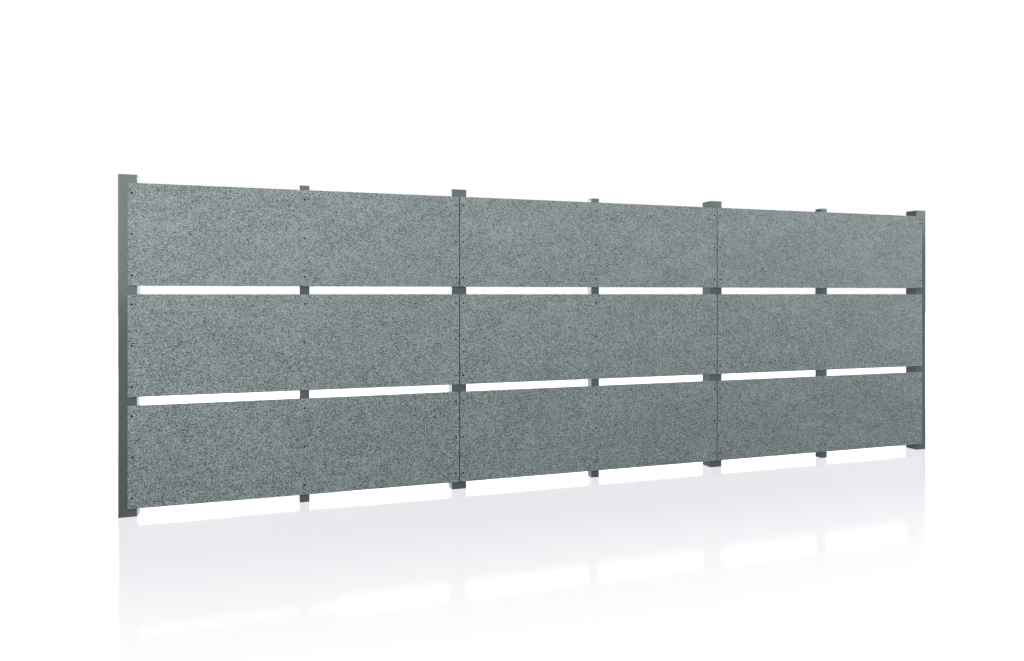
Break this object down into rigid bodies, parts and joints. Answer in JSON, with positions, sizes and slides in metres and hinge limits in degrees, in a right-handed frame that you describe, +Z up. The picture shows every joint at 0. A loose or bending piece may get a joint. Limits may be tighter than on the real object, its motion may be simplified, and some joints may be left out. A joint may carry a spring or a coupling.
{
  "type": "fibre cement fence",
  "caption": "Straight fence of wide grey fibre cement boards in rows with open gaps, screwed to square hollow posts with flush caps.",
  "frame": {"origin": "centre of the lower end of the middle post of the middle bay, at ground level, which is the middle of the fence", "axes": "+X along the fence, to the right for someone who faces the boards; -Y the way the boards face; +Z up"},
  "size_m": [6.1, 0.115, 2],
  "materials": {
    "board": "matt speckled grey fibre cement",
    "post_coating": "satin green-grey powder coat",
    "cap_plastic": "moulded, the posts' green-grey",
    "foot_plate": "satin green-grey powder coat",
    "screw_coating": "dark grey coated steel screw heads"
  },
  "bodies": {
    "root": {"bottom_board_1": "board", "bottom_board_2": "board", "bottom_board_3": "board", "middle_board_1": "board", "middle_board_2": "board", "middle_board_3": "board", "top_board_1": "board", "top_board_2": "board", "top_board_3": "board", "main_post_1": "post_coating", "main_post_2": "post_coating", "main_post_3": "post_coating", "main_post_4": "post_coating", "middle_post_1": "post_coating", "middle_post_2": "post_coating", "middle_post_3": "post_coating", "main_post_cap_1": "cap_plastic", "main_post_cap_2": "cap_plastic", "main_post_cap_3": "cap_plastic", "main_post_cap_4": "cap_plastic", "middle_post_cap_1": "cap_plastic", "middle_post_cap_2": "cap_plastic", "middle_post_cap_3": "cap_plastic", "main_post_foot_1": "foot_plate", "main_post_foot_2": "foot_plate", "main_post_foot_3": "foot_plate", "main_post_foot_4": "foot_plate", "middle_post_foot_1": "foot_plate", "middle_post_foot_2": "foot_plate", "middle_post_foot_3": "foot_plate"}
  },
  "joints": []
}
